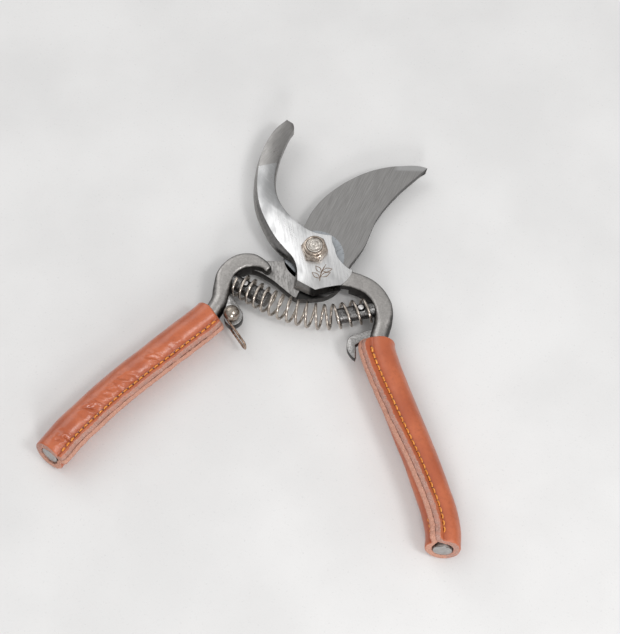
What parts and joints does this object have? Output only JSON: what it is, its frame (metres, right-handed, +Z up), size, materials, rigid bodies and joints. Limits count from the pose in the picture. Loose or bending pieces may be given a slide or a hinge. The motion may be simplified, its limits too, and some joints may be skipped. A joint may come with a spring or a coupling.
{
  "type": "bypass pruning shears",
  "caption": "Open bypass pruning shears: forged hook jaw and curved blade on a bolt, long coil spring on pegs, wire-loop catch, stitched leather handle sleeves.",
  "frame": {"origin": "on the pivot axis, at the flat outer face of the bolt head, which the shears lie on", "axes": "+Z up the pivot axis from the bolt head to the nut; +Y bisects the open handles and points to the jaws; +X towards the open blade's side"},
  "size_m": [0.1702, 0.1769, 0.0171],
  "materials": {
    "hook_steel": "polished forged steel",
    "blade_steel": "ground forged steel",
    "bolt": "nickel plated",
    "nut": "nickel plated",
    "spring": "bright wire",
    "pegs": "forged steel",
    "pins": "bright steel",
    "catch_steel": "forged steel",
    "rivet": "nickel plated",
    "loop_wire": "bright wire",
    "leather": "smooth tan leather",
    "thread": "waxed thread"
  },
  "bodies": {
    "hook_half": {"hook_forging": "hook_steel", "pivot_bolt": "bolt", "pivot_nut": "nut", "right_sleeve": "leather", "right_stitching": "thread", "right_spring_peg": "pegs", "right_peg_pin": "pins", "catch_hook": "catch_steel", "coil_spring": "spring"},
    "blade_half": {"blade_forging": "blade_steel", "left_sleeve": "leather", "left_stitching": "thread", "left_spring_peg": "pegs", "left_peg_pin": "pins", "catch_lug": "catch_steel", "catch_rivet": "rivet"},
    "loop": {"wire_loop": "loop_wire"}
  },
  "joints": [
    {"name": "pivot", "type": "hinge", "parent": "hook_half", "child": "blade_half", "pos_m": [0, 0, 0.009], "axis": [0, 0, 1], "range_deg": [0, 54], "stiffness_Nm_per_rad": 0.8, "deforming": ["coil_spring"]},
    {"name": "catch_loop", "type": "hinge", "parent": "blade_half", "child": "loop", "pos_m": [-0.0264, -0.0362, 0.007], "axis": [0, 0, 1], "range_deg": [-25, 20]}
  ]
}
